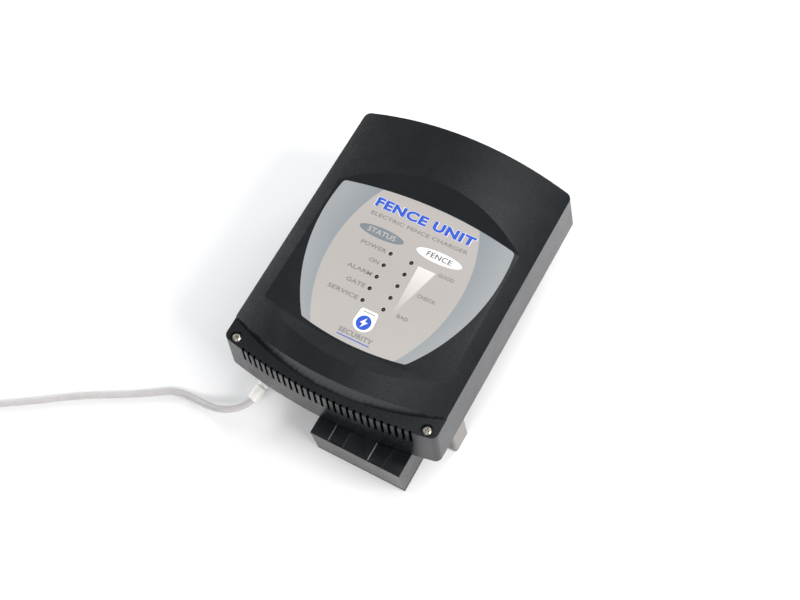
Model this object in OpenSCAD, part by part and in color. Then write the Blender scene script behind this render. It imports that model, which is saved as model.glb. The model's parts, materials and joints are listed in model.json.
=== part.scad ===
// Wall-mounting electric fence charger: a deep back box that holds the battery, the power board and the
// terminals, and a domed front cover that hangs on two hinge pins and is held by two screws.
// Millimetres. The origin is the centre of the back face, +X is the right side, +Y the top end, +Z the front.

/* [Cover] */
// Width of the cover at its rim
cover_w = 200; // [160:1:240]
// Length of the cover at its rim, over the bulged ends
cover_l = 261; // [236:1:320]
// How far each end bulges out at its middle
end_bulge = 10; // [7:0.5:13]
// Radius of the upright corners
corner_r = 6; // [5.5:0.5:12]
// Height of the cover's walls, from rim to face edge
cover_depth = 42; // [38:1:52]
// Rise of the domed face above its side edges
dome_rise = 10; // [8:0.5:13]
// Wall thickness of the cover
cover_wall = 2.5; // [2:0.1:3]
// Lean of the side and top walls between rim and face
side_lean = 1.4; // [0.8:0.1:2]
// Lean of the vented bottom wall between rim and face
foot_lean = 5.2; // [3:0.1:6]
// Depth of the screw lip below the face edge
lip_drop = 1.5; // [1:0.1:2.5]
// Length of the screw lip at the middle of the bottom end
lip_l = 12.3; // [10:0.1:15]

/* [Back box] */
// Depth of the back box, from back face to cover rim
base_depth = 38; // [34:1:48]
// Inset of the back box from the cover's rim
base_inset = 12; // [9:1:15]
// Wall and floor thickness of the back box
base_wall = 3; // [2.4:0.1:4]
// Spacing of the wall-fixing holes across
fixing_dx = 160; // [156:1:161]
// Spacing of the wall-fixing holes up
fixing_dy = 190; // [180:1:196]
// Diameter of the wall-fixing holes
fixing_d = 5; // [4:0.5:6]
// Diameter of the rear cable hole
rear_hole_d = 20; // [12:1:22]

/* [Vents] */
// Number of vent slots
vent_count = 27; // [9:2:27]
// Pitch of the vent slots
vent_pitch = 6; // [5:0.5:6]
// Width of one vent slot
vent_w = 2.6; // [1.6:0.1:3]
// Height of one vent slot
vent_h = 18; // [10:1:24]

/* [Label and lamps] */
// Depth of the label land above the face edge
land_rise = 2.5; // [1.5:0.1:4]
// Width of the label at its top corners
label_w = 166; // [150:1:170]
// Thickness of the label
label_t = 0.4; // [0.2:0.1:0.8]
// Diameter of a lamp
lamp_d = 3; // [2.5:0.1:3.4]
// Pitch of the lamps in a column
lamp_pitch = 11.6; // [9:0.1:12]
// Gap between the two columns of lamps
lamp_gap = 19.6; // [14:0.2:24]
// Height of the first lamp above the centre line
lamp_y = 7.3; // [4:0.1:10]

/* [Screws] */
// Shank diameter of the cover screws
screw_d = 4; // [3.5:0.5:4.5]
// Head diameter of the cover screws
screw_head_d = 8; // [7:0.5:9]

/* [Terminal bay] */
// Width of the terminal cover
bay_w = 84; // [84:1:88]
// Distance of the terminal cover's middle from the centre line
bay_x = 35; // [33:1:37]
// How far the terminal cover stands out past the cover's rim
bay_out = 15.2; // [13:0.2:22]
// Wall thickness of the terminal cover
bay_wall = 2; // [1.6:0.1:2.4]
// Number of fence terminals
fence_ways = 4; // [4:1:4]

/* [Battery] */
// Battery length, across the box
battery_w = 151; // [120:1:152]
// Battery height, along the box
battery_l = 94; // [70:1:94]
// Battery thickness
battery_t = 65; // [50:1:66]

/* [Mains lead] */
// Diameter of the lead
lead_d = 6; // [5.5:0.1:6]
// Outer diameter of the gland's sleeve
gland_d = 10.4; // [9.6:0.2:12]

/* [Hidden] */
$fn = 48;
big_fn = 360;       // facets of the shallow end and dome curves
gap = 0.3;          // between pieces that move past each other
seat = 0.05;        // running and seating clearance
far = 400;

// ---- heights and outline values
rim_z = base_depth;
face_z = rim_z + cover_depth;
apex_z = face_z + dome_rise;
lip_z = face_z - lip_drop;
land_z = face_z + land_rise;
half_l = cover_l / 2;
end_r = (pow(cover_w / 2, 2) + pow(end_bulge, 2)) / (2 * end_bulge);
end_c = half_l - end_r;                  // y of the top end's centre; the bottom end's is -end_c
face_w = cover_w - 2 * side_lean;
dome_r = (pow(face_w / 2, 2) + pow(dome_rise, 2)) / (2 * dome_rise);
inner_inset = cover_wall;
box_w = cover_w - 2 * base_inset;
box_corner_r = 6;
box_r = end_r - base_inset;

// y of an end curve's outside, measured from the origin, at a distance x from the middle
function end_y(x, inset) = end_c + sqrt(pow(end_r - inset, 2) - x * x);

// centre of a corner circle that touches the side and the end curve
function corner_c(w, r, rc) = [w / 2 - rc, -end_c - sqrt(pow(r - rc, 2) - pow(w / 2 - rc, 2))];

// What is cut away outside the rounded corner at +X on the bottom end; dx and dy are how far it leans in
module corner_cut(w, r, rc, z0, z1, dx, dy) {
  foot = corner_c(w, r, rc);
  head = corner_c(w - 2 * dx, r - dy, rc);
  lean = [head[0] - foot[0], head[1] - foot[1]];
  turn = atan2(lean[1], lean[0]);
  tip = atan2(norm(lean), z1 - z0);
  reach = 3 * rc;
  swing = asin((w / 2 - rc) / (r - rc));
  translate([foot[0], foot[1], z0]) rotate([0, 0, turn]) rotate([0, tip, 0]) rotate([0, 0, -turn])
    difference() {
      translate([0, 0, -20]) linear_extrude(z1 - z0 + 60)
        polygon([[0, 0], [reach, 0], [reach, -reach], [reach * tan(swing), -reach]]);
      translate([0, 0, -21]) cylinder(r = rc, h = z1 - z0 + 62);
    }
}

// A solid with the case's outline, drawn in by inset, from z0 to z1; it leans from z0 up to lean_top
module case_solid(inset, rc, z0, z1, lean_top, dx = 0, dtop = 0, dfoot = 0) {
  w = cover_w - 2 * inset;
  r = end_r - inset;
  k = (z1 - z0) / (lean_top - z0);
  difference() {
    intersection() {
      translate([0, far / 2, 0]) rotate([90, 0, 0]) linear_extrude(far)
        polygon([[-w / 2, z0], [w / 2, z0], [w / 2 - dx * k, z1], [-w / 2 + dx * k, z1]]);
      translate([0, -end_c, z0]) cylinder(r1 = r, r2 = r - dfoot * k, h = z1 - z0, $fn = big_fn);
      translate([0, end_c, z0]) cylinder(r1 = r, r2 = r - dtop * k, h = z1 - z0, $fn = big_fn);
    }
    for (side = [0, 1]) mirror([side, 0, 0]) {
      corner_cut(w, r, rc, z0, lean_top, dx, dfoot);
      mirror([0, 1, 0]) corner_cut(w, r, rc, z0, lean_top, dx, dtop);
    }
  }
}

// The leaning skirt of the cover, carried up past its face
module skirt_form(inset) {
  case_solid(inset, corner_r - inset, rim_z, apex_z + 2, face_z, side_lean, side_lean,
    foot_lean);
}

// The dome over the whole face, lowered by drop
module dome_form(drop) {
  translate([0, far / 2, apex_z - dome_r]) rotate([90, 0, 0]) cylinder(r = dome_r - drop, h = far, $fn = big_fn);
}

// ---- step between the face and the screw lip: an arc that slopes in as it rises
step_sagitta = 21.2;
step_half_w = cover_w / 2 - 1;
step_r = (pow(step_half_w, 2) + pow(step_sagitta, 2)) / (2 * step_sagitta);
step_y = -half_l + lip_l;
step_slope = 0.52;
module step_form(grow) {
  foot = cover_wall + 1;                 // how far it starts below the lip
  h = apex_z + 6 - lip_z + foot;
  r = step_r + grow + step_slope * foot;
  translate([0, step_y + step_r, lip_z - foot]) cylinder(r1 = r, r2 = r - step_slope * h, h = h, $fn = big_fn);
}

// ---- the land that the label lies on: two arcs that slope out as they rise
land_top_y = 60.6;
land_top_r = 375;
land_top_slope = 2.6;
land_foot_y = -79.8;
land_foot_r = 448;
land_foot_slope = 1.97;
module land_cut(grow) {
  h = 12;
  translate([0, 0, land_z - grow]) intersection() {
    translate([0, land_top_y - land_top_r, 0])
      cylinder(r1 = land_top_r + grow, r2 = land_top_r + grow + land_top_slope * h, h = h, $fn = big_fn);
    translate([0, land_foot_y + land_foot_r, 0])
      cylinder(r1 = land_foot_r + grow, r2 = land_foot_r + grow + land_foot_slope * h, h = h, $fn = big_fn);
  }
}

// ---- screw, lamp and fixing places
screw_x = cover_w / 2 - 11;
screw_y = -half_l + 18.8;
screw_recess_d = screw_head_d + 2.5;
screw_boss_d = screw_d + 7;
post_top_z = rim_z + 8;
post_hole_d = screw_d + 2 * 0.35;
head_z = lip_z - cover_wall;             // where the screw heads sit
lamp_xs = [-lamp_gap / 2 - 0.6, lamp_gap / 2 - 0.6];
lamp_ys = [for (k = [0:4]) lamp_y - k * lamp_pitch];
led_board_top = land_z - cover_wall - 4;
led_board_t = 1.6;
led_board_w = 56;
led_board_l = 78;
led_board_y = -16;
led_screw_xs = [-24, 24];
led_screw_ys = [led_board_y - 35, led_board_y + 35];

// ---- hinge
hinge_x = 62;
hinge_y = half_l - 1.8;
hinge_z = rim_z - 3.5;
hinge_d = 3;
knuckle_r = 3.1;
knuckle_w = 10;
ear_w = 4;

module front_cover() {
  color("#1d2022") {
    difference() {
      union() {
        difference() {
          intersection() { skirt_form(0); dome_form(0); }
          // the lip past the step
          difference() {
            translate([-far / 2, -far, lip_z]) cube([far, far, far]);
            step_form(0);
          }
          land_cut(0);
          // inside, up to the lip
          intersection() {
            skirt_form(cover_wall);
            translate([-far / 2, -far / 2, 0]) cube([far, far, lip_z - cover_wall]);
          }
          // inside, under the dome
          difference() {
            intersection() {
              skirt_form(cover_wall);
              dome_form(cover_wall);
              step_form(-cover_wall);
              translate([-far / 2, -far / 2, rim_z]) cube([far, far, far]);
            }
            land_cut(cover_wall);
          }
        }
        // screw tubes
        for (s = [-1, 1]) translate([s * screw_x, screw_y, post_top_z + gap])
          cylinder(d = screw_boss_d, h = head_z - post_top_z - gap + 1);
        // bosses for the lamp board
        for (x = led_screw_xs, y = led_screw_ys) translate([x, y, led_board_top])
          cylinder(d = 6, h = land_z - 1 - led_board_top);
        // hinge knuckles and their webs
        for (s = [-1, 1]) translate([s * hinge_x - knuckle_w / 2, 0, 0]) {
          translate([0, hinge_y, hinge_z]) rotate([0, 90, 0]) cylinder(r = knuckle_r, h = knuckle_w);
          translate([0, end_y(hinge_x, 0) - cover_wall + 0.2, hinge_z])
            cube([knuckle_w, hinge_y - end_y(hinge_x, 0) + cover_wall - 0.2, 7]);
        }
      }
      for (s = [-1, 1]) {
        translate([s * screw_x, screw_y, rim_z]) cylinder(d = screw_d + 2 * seat, h = far);
        translate([s * screw_x, screw_y, head_z]) cylinder(d = screw_recess_d, h = far);
        translate([s * (hinge_x + knuckle_w), hinge_y, hinge_z]) rotate([0, -90 * s, 0])
          cylinder(d = hinge_d + 2 * seat, h = 2 * knuckle_w);
      }
      for (x = lamp_xs, y = lamp_ys) translate([x, y, land_z - 6]) cylinder(d = lamp_d + 2 * gap, h = 20);
      for (x = led_screw_xs, y = led_screw_ys) translate([x, y, led_board_top - 1]) cylinder(d = 2.2, h = 5);
      vent_slots();
    }
  }
}

// Slots through the top of the bottom wall, notched a little into the lip
module vent_slots() {
  notch_r = end_r - foot_lean - 2;
  for (k = [0:vent_count - 1]) translate([0, -end_c, 0])
    rotate([0, 0, (k - (vent_count - 1) / 2) * vent_pitch / notch_r * 180 / PI])
      translate([-vent_w / 2, -end_r - 5, face_z - vent_h]) cube([vent_w, end_r + 5 - notch_r, vent_h + 5]);
}

// The label's outline: an arc on each side, with rounded corners
label_side_r = 159;
label_foot_r = 245;
module label_outline(rc) {
  offset(r = rc) offset(delta = -rc) intersection() {
    translate([0, land_top_y - land_top_r]) circle(r = land_top_r - gap, $fn = big_fn);
    translate([0, land_foot_y + 2 + label_foot_r]) circle(r = label_foot_r, $fn = big_fn);
    translate([label_w / 2 - label_side_r, 26]) circle(r = label_side_r, $fn = 240);
    translate([label_side_r - label_w / 2, 26]) circle(r = label_side_r, $fn = 240);
  }
}

module fascia_label() {
  color("#c9c4bf") translate([0, 0, land_z]) difference() {
    linear_extrude(label_t) label_outline(4);
    for (x = lamp_xs, y = lamp_ys) translate([x, y, -1]) cylinder(d = lamp_d + 2 * gap, h = 3);
  }
}

module led_board() {
  color("#1f5c38") difference() {
    translate([-led_board_w / 2, led_board_y - led_board_l / 2, led_board_top - led_board_t])
      cube([led_board_w, led_board_l, led_board_t]);
    for (x = led_screw_xs, y = led_screw_ys) translate([x, y, 0]) cylinder(d = 2.8, h = far);
  }
}

module led_board_screws() {
  color("silver") for (x = led_screw_xs, y = led_screw_ys) translate([x, y, led_board_top - led_board_t])
    union() {
      translate([0, 0, -1.6]) cylinder(d = 4.4, h = 1.6);
      translate([0, 0, -0.5]) cylinder(d = 2.1, h = 5);
    }
}

module lamps(column, shade) {
  color(shade) for (y = lamp_ys) translate([lamp_xs[column], y, led_board_top]) union() {
    cylinder(d = lamp_d + 0.4, h = 1);
    cylinder(d = lamp_d, h = land_z - led_board_top - 1.2);
    translate([0, 0, land_z - led_board_top - 1.2]) intersection() {
      sphere(d = lamp_d);
      cylinder(d = lamp_d, h = lamp_d);
    }
  }
}
module status_leds() { lamps(0, "#303232"); }
module fence_leds() { lamps(1, "#303232"); }

// A pan-head screw with a cross recess, head seat at z = 0
module pan_screw(d, head_d, l) {
  head_h = head_d * 0.3;
  difference() {
    union() {
      translate([0, 0, -l]) cylinder(d = d, h = l + 0.5);
      cylinder(d = head_d, h = head_h * 0.45);
      translate([0, 0, head_h * 0.45]) cylinder(d1 = head_d, d2 = head_d * 0.66, h = head_h * 0.55);
    }
    for (a = [0, 90]) rotate([0, 0, a]) translate([-head_d * 0.26, -head_d * 0.05, head_h * 0.45])
      cube([head_d * 0.52, head_d * 0.1, head_h]);
  }
}

module cover_screw(s) {
  color("#b9b5a8") translate([s * screw_x, screw_y, head_z + seat])
    pan_screw(screw_d, screw_head_d, head_z - rim_z - 2);
}
module cover_screw_left() { cover_screw(-1); }
module cover_screw_right() { cover_screw(1); }

// ---- gland on the bottom wall: s runs out of the wall along its axis
gland_x = -69.6;
gland_z = 19;
gland_turn = asin(gland_x / box_r);
gland_y = -end_y(gland_x, base_inset);
module along_gland() {
  translate([gland_x, gland_y, gland_z]) rotate([0, 0, gland_turn]) rotate([90, 0, 0]) children();
}
sleeve_l = 12.5;
nut_l = 21;
nut_s = 5.5;
gland_thread_d = 11;

// ---- terminal bay
bay_top_z = rim_z - 0.6;
shelf_t = 2.4;
bay_y = -half_l - bay_out;
block_w = 72;
block_y0 = -half_l - 9;
block_y1 = -end_y(bay_x + block_w / 2, base_inset) + 6;
block_h = 22;
way_pitch = 17;
way_xs = [for (k = [0:fence_ways - 1]) bay_x + (k - (fence_ways - 1) / 2) * way_pitch];
way_y = block_y0 + 7;
clamp_z = shelf_t + 10;
wire_d = 4;
terminal_screw_d = 4;

// ---- side entry box
entry_y = [-97, -77];
entry_out = 11;
spigot_d = 8;

// ---- hole for the cables that come out of the wall
rear_hole_x = 52;
rear_hole_y = -94;

// ---- boards and what stands on them
floor_z = base_wall;
board_z = floor_z + 8;
board_t = 1.6;
part_z = board_z + board_t;
board_w = 160;
board_y = [-78, 6];
board_screw_xs = [-76, 76];
board_screw_ys = [board_y[0] + 4, board_y[1] - 4];
battery_y = [14, 14 + battery_l];
battery_z = floor_z + gap;
strap_t = 1.5;
strap_w = 14;
strap_y = (battery_y[0] + battery_y[1]) / 2;
strap_x = battery_w / 2 + 0.4;
strap_foot = 6.5;

module base_tray() {
  color("#26292b") difference() {
    union() {
      difference() {
        union() {
          case_solid(base_inset, box_corner_r, 0, rim_z + 1, rim_z + 1);
          // flange inside the cover's skirt
          case_solid(cover_wall + 0.8, corner_r - cover_wall - 0.8, rim_z, rim_z + 3, rim_z + 3);
        }
        case_solid(base_inset + base_wall, box_corner_r - base_wall, floor_z, far / 2, far / 2);
      }
      // posts for the cover screws
      for (s = [-1, 1]) translate([s * screw_x, screw_y, rim_z]) cylinder(d = 9, h = 8);
      // pillars under the power board
      for (x = board_screw_xs, y = board_screw_ys) translate([x, y, 1]) cylinder(d = 7, h = board_z - 1);
      // shelf of the terminal bay
      difference() {
        translate([bay_x - bay_w / 2, bay_y, 0]) cube([bay_w, 40, shelf_t]);
        translate([0, -end_c, -1]) cylinder(r = box_r - 1, h = 9, $fn = big_fn);
      }
      // hinge arms and ears
      for (s = [-1, 1], e = [-1, 1])
        translate([s * hinge_x + e * (knuckle_w / 2 + gap + ear_w / 2) - ear_w / 2, 0, 0]) {
          translate([0, hinge_y, hinge_z]) rotate([0, 90, 0]) cylinder(r = knuckle_r, h = ear_w);
          translate([0, end_y(hinge_x, base_inset) - 2, hinge_z - knuckle_r])
            cube([ear_w, hinge_y - end_y(hinge_x, base_inset) + 2, 2 * knuckle_r]);
        }
    }
    for (s = [-1, 1]) {
      translate([s * screw_x, screw_y, rim_z + 1]) cylinder(d = post_hole_d, h = 20);
      translate([s * (hinge_x + knuckle_w), hinge_y, hinge_z]) rotate([0, -90 * s, 0])
        cylinder(d = hinge_d, h = 2 * knuckle_w);
    }
    for (x = board_screw_xs, y = board_screw_ys) translate([x, y, board_z - 6]) cylinder(d = 2.5, h = 7);
    for (x = [-1, 1], y = [-1, 1]) translate([x * fixing_dx / 2, y * fixing_dy / 2, -1])
      cylinder(d = fixing_d, h = 6);
    translate([rear_hole_x, rear_hole_y, -1]) cylinder(d = rear_hole_d, h = 6);
    // strap screw holes
    for (s = [-1, 1]) translate([s * (strap_x + strap_t + 3.5), strap_y, -1]) cylinder(d = 2.5, h = 6);
    along_gland() translate([0, 0, -8]) cylinder(d = gland_thread_d + 2 * seat, h = 16);
    // window for the terminal block
    translate([bay_x - block_w / 2 + 4 - gap, -end_y(bay_x - bay_w / 2, base_inset) - 2, floor_z])
      cube([block_w - 8 + 2 * gap, 20, 14]);
    translate([box_w / 2 - 6, (entry_y[0] + entry_y[1]) / 2, 20]) rotate([0, 90, 0])
      cylinder(d = spigot_d + 2 * seat, h = 12);
  }
}
module hinge_pins() {
  pin_l = knuckle_w + 2 * gap + 2 * ear_w;
  color("silver") for (s = [-1, 1]) translate([s * hinge_x - pin_l / 2, hinge_y, hinge_z]) rotate([0, 90, 0])
    cylinder(d = hinge_d, h = pin_l);
}

module battery() {
  lid_t = 5;
  color("#3a3f45") union() {
    translate([-battery_w / 2, battery_y[0] + lid_t, battery_z]) cube([battery_w, battery_l - lid_t, battery_t]);
    translate([-battery_w / 2 + 1, battery_y[0], battery_z + 1]) cube([battery_w - 2, lid_t + 1, battery_t - 2]);
  }
}

module battery_tabs() {
  color("gold") for (s = [-1, 1]) translate([s * (battery_w / 2 - 9) - 3.2, battery_y[0] - 7, battery_z + battery_t - 12])
    cube([6.4, 7, 0.8]);
}

module battery_strap() {
  top = battery_z + battery_t + gap;
  color("#9aa0a3") difference() {
    union() {
      translate([-strap_x - strap_t, strap_y - strap_w / 2, top]) cube([2 * (strap_x + strap_t), strap_w, strap_t]);
      for (s = [0, 1]) mirror([s, 0, 0]) {
        translate([strap_x, strap_y - strap_w / 2, floor_z]) cube([strap_t, strap_w, top - floor_z + strap_t]);
        translate([strap_x, strap_y - strap_w / 2, floor_z]) cube([strap_t + strap_foot, strap_w, strap_t]);
      }
    }
    for (s = [-1, 1]) translate([s * (strap_x + strap_t + 3.5), strap_y, 0]) cylinder(d = 3.2, h = 8);
  }
}

module strap_screws() {
  color("silver") for (s = [-1, 1]) translate([s * (strap_x + strap_t + 3.5), strap_y, floor_z + strap_t])
    pan_screw(2.5, 4.6, 3.8);
}

module main_board() {
  color("#1f5c38") difference() {
    translate([-board_w / 2, board_y[0], board_z]) cube([board_w, board_y[1] - board_y[0], board_t]);
    for (x = board_screw_xs, y = board_screw_ys) translate([x, y, 0]) cylinder(d = 3.2, h = far);
  }
}

module board_screws() {
  color("silver") for (x = board_screw_xs, y = board_screw_ys) translate([x, y, part_z])
    pan_screw(2.5, 5.2, 6);
}

// A block with rounded upright edges
module soft_block(size, r) {
  translate([r, 0, 0]) cube([size[0] - 2 * r, size[1], size[2]]);
  translate([0, r, 0]) cube([size[0], size[1] - 2 * r, size[2]]);
  for (x = [r, size[0] - r], y = [r, size[1] - r]) translate([x, y, 0]) cylinder(r = r, h = size[2]);
}

// A laminated core: two outer legs and two yokes round the coil's window, the middle leg hidden in the coil
module core(at, size, leg) {
  color("#6d6f70") translate(at) difference() {
    cube(size);
    translate([leg, -1, leg]) cube([size[0] - 2 * leg, size[1] + 2, size[2] - 2 * leg]);
  }
}
mains_core = [[-74, -57, part_z + 1], [48, 26, 40], 8];
pulse_core = [[44, -52, part_z + 1], [34, 20, 34], 6];
module coil_block(c, over) {
  at = c[0];
  size = c[1];
  leg = c[2];
  translate([at[0] + leg + 0.1, at[1] - over, at[2] + leg + 0.1]) soft_block([size[0] - 2 * leg - 0.2,
    size[1] + 2 * over, size[2] - 2 * leg - 0.2], 3);
}
module core_feet(c) {
  for (x = [c[0][0] + 3, c[0][0] + c[1][0] - 7]) translate([x, c[0][1] + 3, part_z]) cube([4, c[1][1] - 6, 1.5]);
}
module mains_transformer_core() {
  color("#6d6f70") union() { core(mains_core[0], mains_core[1], mains_core[2]); core_feet(mains_core); }
}
module mains_transformer_coil() { color("#c9a227") coil_block(mains_core, 9); }
module pulse_transformer_core() {
  color("#555758") union() { core(pulse_core[0], pulse_core[1], pulse_core[2]); core_feet(pulse_core); }
}
module pulse_transformer_coil() { color("#25272a") coil_block(pulse_core, 10); }

capacitor_d = 30;
module storage_capacitors() {
  color("#28445e") for (x = [-8, 25]) translate([x, -44, part_z]) difference() {
    union() {
      cylinder(d = capacitor_d, h = 48);
      translate([0, 0, 48]) cylinder(d1 = capacitor_d, d2 = capacitor_d - 3, h = 1.5);
    }
    translate([0, 0, 48.3]) cylinder(d = capacitor_d - 7, h = 3);
  }
}

module heat_sink() {
  fins = 9;
  color("#a8abad") translate([-74, -16, part_z]) union() {
    cube([50, 3, 26]);
    for (k = [0:fins - 1]) translate([k * 6, 2, 0]) cube([2, 10, 26]);
  }
}

module relays() {
  color("#e8e4d8") for (x = [30, 53]) translate([x, -17, part_z]) soft_block([19, 15.5, 15], 1);
}

module fuse_holder() {
  color("#d8d4c8") translate([-20, -13, part_z]) difference() {
    cube([24, 9, 9]);
    translate([2, 1.5, 3]) cube([20, 6, 7]);
  }
}

module fuse() {
  color("#c9ced1") translate([-18 + gap, -8.5, part_z + 5.6 + seat]) rotate([0, 90, 0])
    cylinder(d = 5, h = 20 - 2 * gap);
}

module buzzer() {
  color("#202224") translate([16.5, -10, part_z]) difference() {
    cylinder(d = 17, h = 9);
    translate([0, 0, 7]) cylinder(d = 3, h = 3);
  }
}

// A strip of screw terminals with wire holes that face the bottom end
module terminal_strip(x, y, ways, pitch, depth, h) {
  difference() {
    translate([x, y, part_z]) cube([ways * pitch, depth, h]);
    for (k = [0:ways - 1]) {
      translate([x + (k + 0.5) * pitch, y - 1, part_z + h * 0.35]) rotate([-90, 0, 0])
        cylinder(d = pitch * 0.5, h = depth * 0.7);
      translate([x + (k + 0.5) * pitch, y + depth / 2, part_z + h - 2]) cylinder(d = pitch * 0.55, h = 3);
    }
  }
}
module mains_terminals() { color("#2d6b3c") terminal_strip(-70, -78, 3, 7.6, 11, 13); }
module signal_terminals() { color("#2d6b3c") terminal_strip(-42, -78, 14, 5.1, 9, 11); }

module fence_terminal_block() {
  color("#d9d5c9") difference() {
    union() {
      translate([bay_x - block_w / 2, block_y0, shelf_t]) intersection() {
        cube([block_w, 30, block_h]);
        translate([0, 0, -1]) linear_extrude(block_h + 3)
          translate([-bay_x + block_w / 2, -block_y0]) difference() {
            translate([-far / 2, -far / 2]) square([far, far]);
            translate([0, -end_c]) circle(r = box_r + gap, $fn = big_fn);
          }
      }
      // tongue through the wall window
      translate([bay_x - block_w / 2 + 4, -end_y(bay_x - bay_w / 2, base_inset) - 6, floor_z + gap])
        cube([block_w - 8, 16, 13]);
    }
    for (x = way_xs) {
      translate([x, block_y0 - 1, clamp_z]) rotate([-90, 0, 0]) cylinder(d = wire_d + 1, h = 5);
      translate([x - 4.2, block_y0 + 2.6, clamp_z - 4.2]) cube([8.4, 9, block_h]);
    }
  }
}

module wire_clamps() {
  color("gold") for (x = way_xs) translate([x, way_y, clamp_z]) difference() {
    translate([-4, -4, -4]) cube([8, 8, 9]);
    translate([0, 5, 0]) rotate([90, 0, 0]) cylinder(d = wire_d, h = 10);
    translate([0, 0, 0]) cylinder(d = terminal_screw_d + 2 * seat, h = 9);
  }
}

module terminal_screw(k) {
  top = shelf_t + block_h;
  if (k < fence_ways) color("silver") translate([way_xs[k], way_y, 0]) difference() {
    union() {
      translate([0, 0, clamp_z + 1.4]) cylinder(d = terminal_screw_d, h = top - clamp_z - 1);
      translate([0, 0, clamp_z + 5.4]) cylinder(d = 7, h = top - clamp_z - 2.9);
    }
    translate([-4, -0.5, top + 1.3]) cube([8, 1, 3]);
  }
}
module terminal_screw_1() { terminal_screw(0); }
module terminal_screw_2() { terminal_screw(1); }
module terminal_screw_3() { terminal_screw(2); }
module terminal_screw_4() { terminal_screw(3); }

module terminal_cover() {
  x0 = bay_x - bay_w / 2;
  y_back = -end_y(bay_x + bay_w / 2, base_inset) + 2;
  z0 = shelf_t + 0.6;
  color("#212426") difference() {
    translate([x0, bay_y, z0]) cube([bay_w, y_back - bay_y, bay_top_z - z0]);
    translate([x0 + bay_wall, bay_y + bay_wall, z0 - 1]) cube([bay_w - 2 * bay_wall, 60, bay_top_z - z0 + 1 - bay_wall]);
    // fits the curved wall of the back box
    translate([0, -end_c, -1]) cylinder(r = box_r + gap, h = far, $fn = big_fn);
    // two shallow channels in the top
    for (share = [0.2, 0.643]) translate([x0 + share * bay_w, bay_y + 1, bay_top_z - 0.9])
      cube([13.4, 60, 2]);
  }
}

module gland_body() {
  color("#ecebe6") along_gland() difference() {
    union() {
      translate([0, 0, -9]) cylinder(d = gland_thread_d, h = 12);
      translate([0, 0, 0.3]) cylinder(d = gland_d + 4, h = 2.6);
      translate([0, 0, 2]) cylinder(d = gland_d - 3, h = sleeve_l - 2);
    }
    translate([0, 0, -10]) cylinder(d = lead_d + 0.4, h = 30);
  }
}
module gland_locknut() {
  color("#ecebe6") along_gland() translate([0, 0, -base_wall - 4.4]) difference() {
    cylinder(d = 17, h = 4, $fn = 6);
    translate([0, 0, -1]) cylinder(d = gland_thread_d + 2 * seat, h = 6);
  }
}
module gland_nut() {
  color("#ecebe6") along_gland() translate([0, 0, nut_s]) difference() {
    rotate_extrude() polygon([[0, 0], [gland_d / 2 - 0.6, 0], [gland_d / 2, 0.6], [gland_d / 2, 5],
      [gland_d / 2 - 0.8, 5.6], [gland_d / 2 - 0.8, 7], [gland_d / 2, 7.8], [gland_d / 2 - 0.2, 15],
      [gland_d / 2 - 1.2, nut_l], [0, nut_l]]);
    translate([0, 0, -1]) cylinder(d = gland_d - 3 + 2 * seat, h = sleeve_l - nut_s + 1.3);
    translate([0, 0, 1]) cylinder(d = lead_d + 2 * seat, h = nut_l);
  }
}

module side_entry_box() {
  y_mid = (entry_y[0] + entry_y[1]) / 2;
  color("#b5b0ae") union() {
    translate([box_w / 2, entry_y[0], 0]) soft_block([entry_out, entry_y[1] - entry_y[0], rim_z - 0.6], 2.5);
    translate([box_w / 2, entry_y[0], 0]) cube([4, entry_y[1] - entry_y[0], rim_z - 0.6]);
    translate([box_w / 2 - base_wall - 1, y_mid, 20]) rotate([0, 90, 0]) cylinder(d = spigot_d, h = 8);
  }
}

// ---- mains lead: its route is laid by hand from the gland to the coil, and on to the plug
route = [[-72.4, -133.4, 19], [-73.4, -140.3, 19], [-75, -144, 18.7], [-78.8, -147.6, 17.2],
  [-84.6, -150.4, 14.1], [-91.8, -152.3, 10.2], [-99.8, -154, 6.8], [-108.5, -156, 4.4], [-118, -158.8, 3.3],
  [-132, -163.4, 3.1], [-150, -169.5, 3.1], [-170, -177, 3.1], [-190, -186, 3.1], [-210, -196.5, 3.1],
  [-230, -208.5, 3.1], [-250, -221.5, 3.1], [-268, -232.8, 3.1], [-285, -243.4, 3.1], [-302, -254, 3.1],
  [-318, -263.6, 3.1]];
coil_c = [-304, -304.5];
coil_mid_r = 36;
coil_half = 9.2;
coil_h = 18.2;
tail = [[-332, -318.1, 21.1], [-326.7, -328.9, 21.1], [-321.6, -339.1, 20.8], [-315.6, -348.3, 19],
  [-307.8, -355.9, 15.6], [-298.2, -361.3, 11.8], [-287.5, -364.5, 9.4]];
lead_sides = 10;

// A closed tube of the lead's diameter along a list of points
module tube(points) {
  count = len(points);
  // direction of travel at each point
  dirs = [for (i = [0:count - 1]) let (a = points[max(i - 1, 0)], b = points[min(i + 1, count - 1)])
    (b - a) / norm(b - a)];
  rings = [for (i = [0:count - 1]) let (
      across = cross(dirs[i], [0, 0, 1]),
      u = across / norm(across),
      v = cross(u, dirs[i]))
    [for (k = [0:lead_sides - 1]) points[i] + lead_d / 2 * (u * cos(k * 360 / lead_sides) +
      v * sin(k * 360 / lead_sides))]];
  verts = [for (ring = rings) each ring];
  quads = [for (i = [0:count - 2], k = [0:lead_sides - 1]) let (n = (k + 1) % lead_sides)
    [i * lead_sides + k, i * lead_sides + n, (i + 1) * lead_sides + n, (i + 1) * lead_sides + k]];
  first = [for (k = [lead_sides - 1:-1:0]) k];
  last = [for (k = [0:lead_sides - 1]) (count - 1) * lead_sides + k];
  polyhedron(points = verts, faces = concat([first], quads, [last]));
}
module cord_tube() { color("#d9d8d6") tube(route); }
module cord_tail() { color("#d9d8d6") tube(tail); }

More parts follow.
